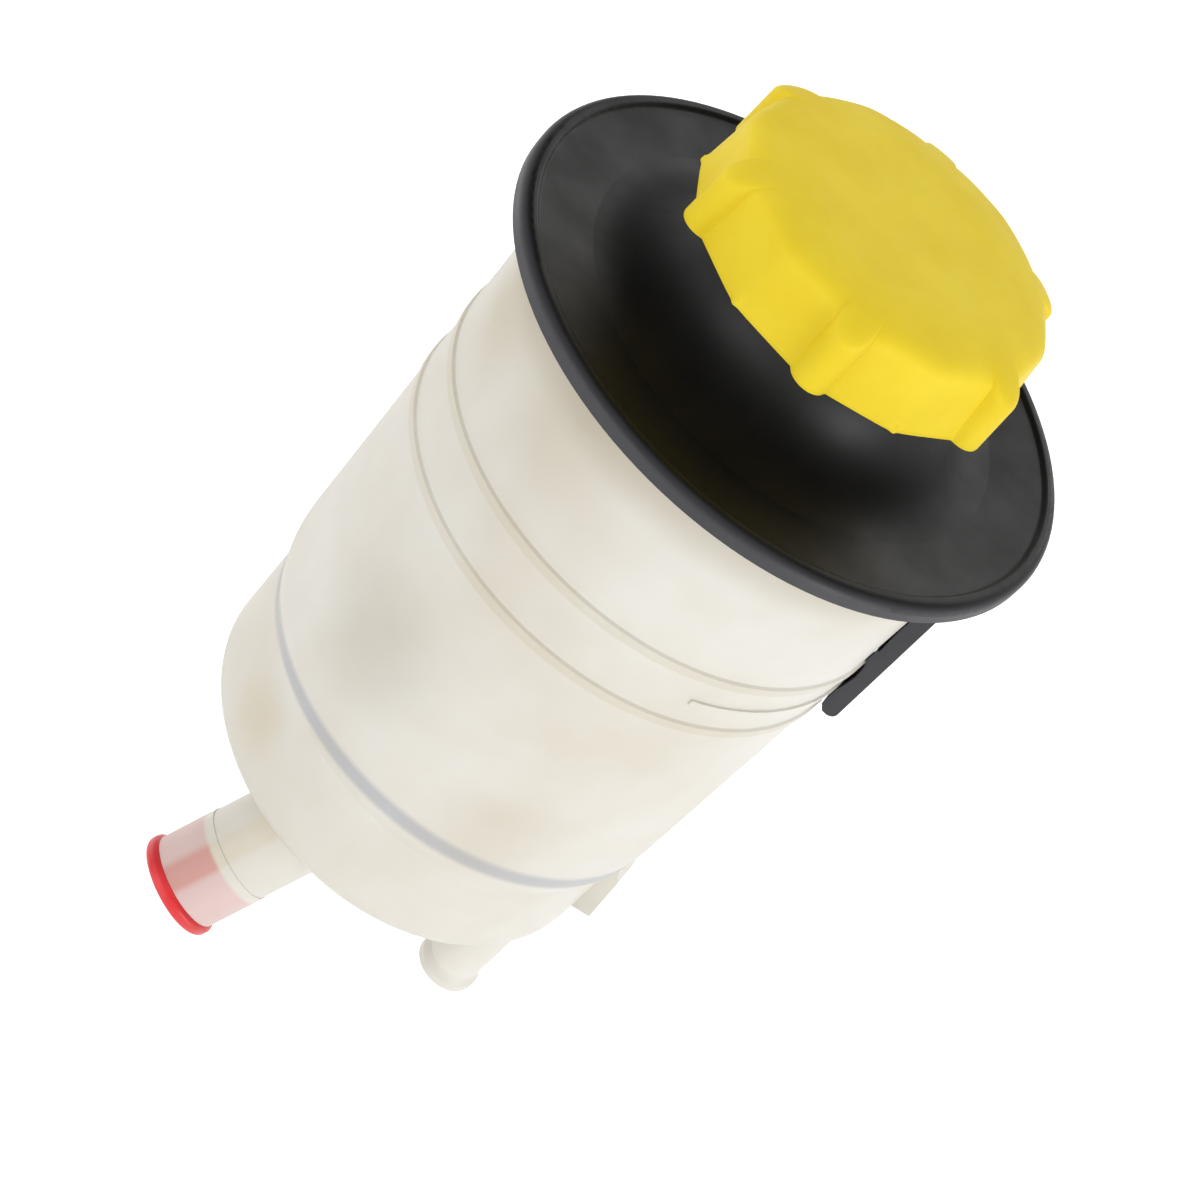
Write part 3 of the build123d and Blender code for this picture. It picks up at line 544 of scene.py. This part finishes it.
finishes = {
    "reservoir_body": tankMaterial,
    "top_cover": coverMaterial,
    "cover_gasket": rubberMaterial,
    "filler_cap": capMaterial,
    "cap_seal_plate": plateMaterial,
    "cap_gasket": rubberMaterial,
    "vent_valve": rubberMaterial,
    "breather_pad": foamMaterial,
    "strainer_frame": innerMaterial,
    "strainer_mesh": meshMaterial,
    "filter_frame": innerMaterial,
    "filter_mesh": meshMaterial,
    "filter_seal": filterRubberMaterial,
    "return_pipe": innerMaterial,
    "pipe_o_ring": rubberMaterial,
    "pipe_grommet": rubberMaterial,
    "diffuser_cap": innerMaterial,
    "bypass_valve": innerMaterial,
    "bypass_cage": innerMaterial,
    "bypass_spring": steelMaterial,
    "suction_plug": plugMaterial,
}
for name, material in finishes.items():
    slots = nodes[name].data.materials
    if len(slots) == 0:
        slots.append(material)
    for index in range(len(slots)):
        slots[index] = material
print("materials assigned:", len(finishes))

# right-hand threads with one start, in mm: span holds the heights of the first and last turn above the tank's
# foot, and start is the angle in radians at which the first turn begins
threadSettings = {
    "pitch": 5.0,
    "width": 2.2,
    "crestWidth": 0.9,
    "across": (-0.5, -0.42, -0.3, -0.2, 0.0, 0.2, 0.3, 0.42, 0.5),
    "runOut": 25.0,  # degrees over which each end fades
    "sink": 0.4,  # how far the ridge's hidden back lies inside the wall
    "steps": 220,
    "neck": {"base": 29.1, "crest": 30.35, "span": (156.2, 163.6), "start": 0.0},
    "bore": {"base": 31.0, "crest": 29.7, "span": (157.7, 164.6), "start": 2.7},
}


def threadSurface(name, wall):
    # A helix of right-hand pitch that carries a rounded ridge: angle t runs along it, and s round the ridge.
    # Radius is base + (crest - base) * ridge(s) * fade(t), height is pitch * t / 2 pi + across(s). Hidden points
    # inside the wall close the ridge.
    s = threadSettings
    base, crest, span = wall["base"], wall["crest"], wall["span"]
    outside = crest > base
    turns = (span[1] - span[0]) / s["pitch"]
    angle = np.linspace(0, 2 * np.pi * turns, s["steps"])
    across = np.array(s["across"]) * s["width"]
    ridge = np.clip((s["width"] / 2 - np.abs(across)) / (s["width"] / 2 - s["crestWidth"] / 2), 0, 1)
    ridge = ridge * ridge * (3 - 2 * ridge)
    fade = np.clip(np.minimum(angle, angle[-1] - angle) / math.radians(s["runOut"]), 0, 1) ** 0.5
    radius = base + (crest - base) * ridge[None, :] * fade[:, None]
    backRadius = np.full_like(radius, base - s["sink"] if outside else base + s["sink"])
    height = span[0] + s["pitch"] * angle[:, None] / (2 * np.pi) + across[None, :]
    turn = angle[:, None] + wall["start"]
    front = np.stack([radius * np.cos(turn), radius * np.sin(turn), height], -1)
    back = np.stack([backRadius * np.cos(turn), backRadius * np.sin(turn), height], -1)
    ring = np.concatenate([front, back[:, ::-1]], 1)
    rows, columns = ring.shape[:2]
    points = ring.reshape(-1, 3) * mm
    points[:, 2] -= strapHeight * mm
    i, j = np.meshgrid(np.arange(rows - 1), np.arange(columns), indexing="ij")
    k = (j + 1) % columns
    quads = np.stack([i * columns + j, i * columns + k, (i + 1) * columns + k, (i + 1) * columns + j], -1)
    ends = [np.arange(columns)[::-1], (rows - 1) * columns + np.arange(columns)]
    faces = [*quads.reshape(-1, 4), *ends]
    if outside:
        faces = [face[::-1] for face in faces]
    mesh = bpy.data.meshes.new(name)
    mesh.from_pydata(points.tolist(), [], [face.tolist() for face in faces])
    mesh.update()
    mesh.shade_smooth()
    thread = bpy.data.objects.new(name, mesh)
    bpy.context.scene.collection.objects.link(thread)
    return thread


neckThread = threadSurface("neck_thread", threadSettings["neck"])
neckThread.data.materials.append(coverMaterial)
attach(neckThread, "tank")

capThread = threadSurface("cap_thread", threadSettings["bore"])
capThread.data.materials.append(capMaterial)
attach(capThread, "cap")
print("threads made")

# heights in mm above the tank's foot, radii in mm, angles in degrees
capSettings = {
    "foot": 156.5,
    "top": 173.4,
    "flat": 20.0,  # radius of the level middle of the top
    "arc": 44.0,  # radius of the fall beyond it
    "corner": 36.0,  # radius at the creases, at the foot
    "draft": 7.1,
    "lobes": 6,
    "turn": 39.7,  # where the first lobe stands
    "lobeReach": 38.1,
    "lobeRound": 3.8,
    "lobeDraft": 3.0,
    "lobeFall": 4.0,  # how steeply a lobe drops away beside its round
    "blend": 0.7,  # round between a lobe and the side
    "soften": 3.5,  # keeps the crease between two lobes blunt
    "shoulder": {"least": 3.0, "more": 4.0, "spread": 8.0},
    "sideRound": 2.4,
    # a small tooth at each crease's foot, from the mould's split
    "nub": {"out": 0.5, "spread": 1.2, "tall": 1.6, "soft": 0.4},
    "domeRows": 18,
    "shoulderRows": 14,
    "sideRows": (0.75, 0.5, 0.25),
    "footRows": ((1.7, 0), (1.15, 0), (0.35, 0), (0.1, 0.1), (0, 0.35)),  # rise, and inset of the foot's round
    "columns": (6, 16, 16, 5),  # from a lobe's middle to the crease, closest where the lobe meets the side
    "inside": (
        (30.9, 156.5),
        (30.9, 165.1),
        (29.3, 166.1),
        (29.3, 166.7),
        (30.0, 166.7),
        (30.0, 168.6),
        (27.9, 168.6),
        (27.9, 170.9),
    ),
    "innerPole": 0.4,
}


def capSurface(name):
    # The outside is a profile swept round. At each angle it runs from the dome, where
    # z = top - arc + sqrt(arc^2 - (r - flat)^2), over a rounded shoulder to the drafted side. The side's outline
    # is a twelve sided figure, r = corner * cos 15 / cos(15 - angle from the crease), joined to round lobes by a
    # smooth maximum. The inside is the bore's profile turned.
    s = capSettings
    half = 180 / s["lobes"]
    edges = (0, 4, 9, half - 2, half)
    steps = np.concatenate(
        [np.linspace(a, b, count, endpoint=False) for a, b, count in zip(edges, edges[1:], s["columns"])]
    )
    sector = np.concatenate([[-half], -steps[:0:-1], steps])
    fromLobe = np.tile(sector, s["lobes"])
    turn = np.radians(s["turn"] + fromLobe + np.repeat(np.arange(s["lobes"]) * 2 * half, len(sector)))
    fromCrease = np.sqrt((half - np.abs(fromLobe)) ** 2 + s["soften"] ** 2)
    coreFoot = s["corner"] * math.cos(math.radians(half / 2)) / np.cos(np.radians(half / 2 - fromCrease))
    centre = s["lobeReach"] - s["lobeRound"]
    offset = centre * np.sin(np.radians(fromLobe))
    arch = np.sqrt(np.clip(s["lobeRound"] ** 2 - offset**2, 0, None))
    beyond = np.clip(np.abs(offset) - s["lobeRound"], 0, None)
    lobeFoot = centre * np.cos(np.radians(fromLobe)) + arch - s["lobeFall"] * beyond

    def sideRadius(rise):
        core = coreFoot - rise * math.tan(math.radians(s["draft"]))
        lobe = lobeFoot - rise * math.tan(math.radians(s["lobeDraft"]))
        share = np.clip(0.5 + 0.5 * (lobe - core) / s["blend"], 0, 1)
        tooth = s["nub"]["out"] * np.exp(-(((half - np.abs(fromLobe)) / s["nub"]["spread"]) ** 2))
        tooth = tooth * np.clip((s["nub"]["tall"] - rise) / s["nub"]["soft"], 0, 1)
        return core + (lobe - core) * share + s["blend"] * share * (1 - share) + tooth

    def domeRise(radius):
        drop = s["arc"] - np.sqrt(s["arc"] ** 2 - np.clip(radius - s["flat"], 0, None) ** 2)
        return s["top"] - s["foot"] - drop

    # eight rounds settle the height at which the drafted side meets the dome
    cornerRise = np.full_like(turn, s["top"] - s["foot"] - 3)
    for _ in range(8):
        cornerRadius = sideRadius(cornerRise)
        cornerRise = domeRise(cornerRadius)
    shoulder = s["shoulder"]
    inset = shoulder["least"] + shoulder["more"] * np.exp(-((fromLobe / shoulder["spread"]) ** 2))
    startRadius = cornerRadius - inset
    startRise = domeRise(startRadius)
    endRise = cornerRise - s["sideRound"]
    endRadius = sideRadius(endRise)
    rows = []
    for share in np.linspace(0.02, 1, s["domeRows"]) ** 0.8:
        rows.append((startRadius * share, domeRise(startRadius * share)))
    for t in np.linspace(0, 1, s["shoulderRows"])[1:]:
        rows.append(
            (
                (1 - t) ** 2 * startRadius + 2 * t * (1 - t) * cornerRadius + t**2 * endRadius,
                (1 - t) ** 2 * startRise + 2 * t * (1 - t) * cornerRise + t**2 * endRise,
            )
        )
    for share in s["sideRows"]:
        rows.append((sideRadius(endRise * share), endRise * share))
    for rise, pull in s["footRows"]:
        rows.append((sideRadius(np.full_like(turn, rise)) - pull, np.full_like(turn, rise)))
    ceilingHeight = s["inside"][-1][1]
    for radius, height in (*s["inside"], (s["innerPole"], ceilingHeight)):
        rows.append((np.full_like(turn, radius), np.full_like(turn, height - s["foot"])))
    radius = np.array([row[0] for row in rows])
    height = np.array([row[1] for row in rows]) + s["foot"] - strapHeight
    points = np.stack([radius * np.cos(turn), radius * np.sin(turn), height], -1).reshape(-1, 3)
    poles = np.array([[0, 0, s["top"] - strapHeight], [0, 0, ceilingHeight - strapHeight]])
    count = len(turn)
    i, j = np.meshgrid(np.arange(len(rows) - 1), np.arange(count), indexing="ij")
    k = (j + 1) % count
    quads = np.stack([i * count + j, (i + 1) * count + j, (i + 1) * count + k, i * count + k], -1)
    ring = np.arange(count)
    following = (ring + 1) % count
    base = (len(rows) - 1) * count
    top = np.stack([np.full(count, len(points)), ring, following], -1)
    ceiling = np.stack([base + ring, np.full(count, len(points) + 1), base + following], -1)
    mesh = bpy.data.meshes.new(name)
    mesh.from_pydata(
        (np.concatenate([points, poles]) * mm).tolist(),
        [],
        quads.reshape(-1, 4).tolist() + top.tolist() + ceiling.tolist(),
    )
    mesh.update()
    mesh.shade_smooth()
    mesh.set_sharp_from_angle(angle=math.radians(32))
    cap = bpy.data.objects.new(name, mesh)
    bpy.context.scene.collection.objects.link(cap)
    return cap


screwCap = capSurface("screw_cap")
screwCap.data.materials.append(capMaterial)
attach(screwCap, "cap")
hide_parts("filler_cap")
print("cap made:", len(screwCap.data.polygons), "faces")

# lift is how far the poppet comes down at the joint's limit, in mm
springSettings = {"wire": 0.45, "turns": 4, "steps": 240, "sides": 12, "lift": 3.0}


def springSurface(name, low, high):
    # A wire swept along a helix: the helix is (R cos a, R sin a, pitch * a / 2 pi), and the wire's round section
    # lies across its tangent, spanned by the outward direction and the binormal.
    s = springSettings
    wire = s["wire"] * mm
    radius = (high[0] - low[0]) / 2 - wire
    length = high[2] - low[2] - 2 * wire
    angle = np.linspace(0, 2 * np.pi * s["turns"], s["steps"])
    outward = np.stack([np.cos(angle), np.sin(angle), np.zeros_like(angle)], -1)
    climb = length / angle[-1]
    slope = math.hypot(radius, climb)
    binormal = np.stack([np.sin(angle) * climb, -np.cos(angle) * climb, np.full_like(angle, radius)], -1)
    binormal = binormal / slope
    middle = np.array([(low[0] + high[0]) / 2, (low[1] + high[1]) / 2, low[2] + wire])
    line = middle + outward * radius
    line[:, 2] += climb * angle
    around = np.linspace(0, 2 * np.pi, s["sides"], endpoint=False)[None, :, None]
    points = line[:, None] + wire * (np.cos(around) * outward[:, None] + np.sin(around) * binormal[:, None])
    sides = s["sides"]
    i, j = np.meshgrid(np.arange(s["steps"] - 1), np.arange(sides), indexing="ij")
    k = (j + 1) % sides
    quads = np.stack([i * sides + j, (i + 1) * sides + j, (i + 1) * sides + k, i * sides + k], -1)
    ends = [np.arange(sides), (s["steps"] - 1) * sides + np.arange(sides)[::-1]]
    faces = [*quads.reshape(-1, 4), *ends]
    mesh = bpy.data.meshes.new(name)
    mesh.from_pydata(points.reshape(-1, 3).tolist(), [], [face.tolist() for face in faces])
    mesh.update()
    mesh.shade_smooth()
    mesh.set_sharp_from_angle(angle=math.radians(50))
    spring = bpy.data.objects.new(name, mesh)
    bpy.context.scene.collection.objects.link(spring)
    return spring


# a wire spring swept within the box of the part's own spring, riding with the tank
springLow, springHigh = (np.array(corner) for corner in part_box("bypass_spring"))
valveSpring = springSurface("valve_spring", springLow, springHigh)
valveSpring.data.materials.append(steelMaterial)
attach(valveSpring, "tank")
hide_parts("bypass_spring")
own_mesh(valveSpring)
print("spring made")

# 87 mm lens on a 36 mm square frame, 0.56 m from the tank, looking down by 38 degrees and rolled by 44.
# Place is in mm.
cameraSettings = {
    "lens": 87.0,
    "sensor": 36.0,
    "clip": 0.01,
    "place": (7.43, -458.16, 327.17),
    "turn": (42.8007, -33.2836, 30.7725),
}
cameraData = bpy.data.cameras.new("studioCamera")
cameraData.lens = cameraSettings["lens"]
cameraData.sensor_width = cameraSettings["sensor"]
cameraData.sensor_fit = "HORIZONTAL"
cameraData.clip_start = cameraSettings["clip"]
camera = bpy.data.objects.new("studioCamera", cameraData)
camera.location = [v * mm for v in cameraSettings["place"]]
camera.rotation_euler = [math.radians(v) for v in cameraSettings["turn"]]
bpy.context.scene.collection.objects.link(camera)
bpy.context.scene.camera = camera

# the floor lies below the plug's lowest place, in metres; lift is what camera, glossy and clear rays see added
floorSettings = {"height": -0.225, "half": 3.0, "grey": 0.86, "lift": 0.62}
floorMesh = bpy.data.meshes.new("floor")
corners = ((-1, -1), (1, -1), (1, 1), (-1, 1))
floorMesh.from_pydata(
    [(x * floorSettings["half"], y * floorSettings["half"], floorSettings["height"]) for x, y in corners],
    [],
    [(0, 1, 2, 3)],
)
floor = bpy.data.objects.new("floor", floorMesh)
bpy.context.scene.collection.objects.link(floor)
floorMaterial = bpy.data.materials.new("paleStudioFloor")
floorMaterial.use_nodes = True
tree = floorMaterial.node_tree
tree.nodes.clear()
matt = addNode(tree, "ShaderNodeBsdfDiffuse", None, {"Color": (*[floorSettings["grey"]] * 3, 1.0)})
lift = addNode(tree, "ShaderNodeEmission", None, {"Color": (1, 1, 1, 1), "Strength": floorSettings["lift"]})
seen = addNode(tree, "ShaderNodeAddShader", None, {0: (matt, "BSDF"), 1: (lift, "Emission")})
rays = addNode(tree, "ShaderNodeLightPath")
straight = addNode(
    tree,
    "ShaderNodeMath",
    {"operation": "MAXIMUM"},
    {0: (rays, "Is Camera Ray"), 1: (rays, "Is Transmission Ray")},
)
visible = addNode(
    tree, "ShaderNodeMath", {"operation": "MAXIMUM"}, {0: (straight, "Value"), 1: (rays, "Is Glossy Ray")}
)
mix = addNode(
    tree, "ShaderNodeMixShader", None, {"Fac": (visible, "Value"), 1: (matt, "BSDF"), 2: (seen, "Shader")}
)
addNode(tree, "ShaderNodeOutputMaterial", None, {"Surface": (mix, "Shader")})
floorMesh.materials.append(floorMaterial)

# Soft studio: diffuse light comes from a pale room with a dimmer ceiling. Gloss finds a dark room with a pale
# horizon and a wide window behind the object. Seen straight or through a wall, the room is plain white.
roomSettings = {
    "light": {"level": 1.03, "dim": 0.62, "dimAt": (0.05, -0.3, 0.95), "edge": (0.3, 0.85)},
    "gloss": {
        "dim": 0.02,
        "window": 1.45,
        "windowAt": (0.1, 0.9, 0.42),
        "windowEdge": (0.84, 0.99),
        "horizon": 0.6,
        "horizonEdge": (0.45, 0.12),
    },
}
world = bpy.data.worlds.new("paleRoom")
bpy.context.scene.world = world
world.use_nodes = True
tree = world.node_tree
tree.nodes.clear()
outward = addNode(tree, "ShaderNodeTexCoord")
light = roomSettings["light"]
facing = addNode(
    tree,
    "ShaderNodeVectorMath",
    {"operation": "DOT_PRODUCT"},
    {0: (outward, "Generated"), 1: light["dimAt"]},
)
ceiling = addNode(
    tree,
    "ShaderNodeMapRange",
    {"interpolation_type": "SMOOTHSTEP"},
    {
        "Value": (facing, "Value"),
        "From Min": light["edge"][0],
        "From Max": light["edge"][1],
        "To Min": light["level"],
        "To Max": light["level"] * light["dim"],
    },
)
gloss = roomSettings["gloss"]
facing = addNode(
    tree,
    "ShaderNodeVectorMath",
    {"operation": "DOT_PRODUCT"},
    {0: (outward, "Generated"), 1: gloss["windowAt"]},
)
window = addNode(
    tree,
    "ShaderNodeMapRange",
    {"interpolation_type": "SMOOTHSTEP"},
    {
        "Value": (facing, "Value"),
        "From Min": gloss["windowEdge"][0],
        "From Max": gloss["windowEdge"][1],
        "To Min": gloss["dim"],
        "To Max": gloss["window"],
    },
)
upward = addNode(tree, "ShaderNodeSeparateXYZ", None, {"Vector": (outward, "Generated")})
horizon = addNode(
    tree,
    "ShaderNodeMapRange",
    {"interpolation_type": "SMOOTHSTEP"},
    {
        "Value": (upward, "Z"),
        "From Min": gloss["horizonEdge"][0],
        "From Max": gloss["horizonEdge"][1],
        "To Max": gloss["horizon"],
    },
)
walls = addNode(
    tree, "ShaderNodeMath", {"operation": "MAXIMUM"}, {0: (window, "Result"), 1: (horizon, "Result")}
)
room = addNode(tree, "ShaderNodeBackground", None, {"Color": (1, 1, 1, 1), "Strength": (ceiling, "Result")})
sides = addNode(tree, "ShaderNodeBackground", None, {"Color": (1, 1, 1, 1), "Strength": (walls, "Value")})
white = addNode(tree, "ShaderNodeBackground", None, {"Color": (1, 1, 1, 1), "Strength": 1.0})
rays = addNode(tree, "ShaderNodeLightPath")
lit = addNode(
    tree,
    "ShaderNodeMixShader",
    None,
    {"Fac": (rays, "Is Glossy Ray"), 1: (room, "Background"), 2: (sides, "Background")},
)
straight = addNode(
    tree,
    "ShaderNodeMath",
    {"operation": "MAXIMUM"},
    {0: (rays, "Is Camera Ray"), 1: (rays, "Is Transmission Ray")},
)
mix = addNode(
    tree,
    "ShaderNodeMixShader",
    None,
    {"Fac": (straight, "Value"), 1: (lit, "Shader"), 2: (white, "Background")},
)
addNode(tree, "ShaderNodeOutputWorld", None, {"Surface": (mix, "Shader")})

# two soft boxes, at the right and in front: size and place in metres, power in watts
lampSettings = {
    "rightWindow": {"size": (0.45, 0.6), "power": 3.8, "place": (1.0, -0.55, 0.05)},
    "frontFill": {"size": (0.9, 0.5), "power": 2.4, "place": (-0.6, -1.0, -0.02)},
}
for name, lamp in lampSettings.items():
    lampData = bpy.data.lights.new(name, "AREA")
    lampData.shape = "RECTANGLE"
    lampData.size, lampData.size_y = lamp["size"]
    lampData.energy = lamp["power"]
    lampObject = bpy.data.objects.new(name, lampData)
    lampObject.location = lamp["place"]
    aim = -np.array(lamp["place"])
    lampObject.rotation_euler = Vector(aim).to_track_quat("-Z", "Y").to_euler()
    bpy.context.scene.collection.objects.link(lampObject)
bpy.context.scene.view_settings.view_transform = "Standard"
print("camera and studio set")
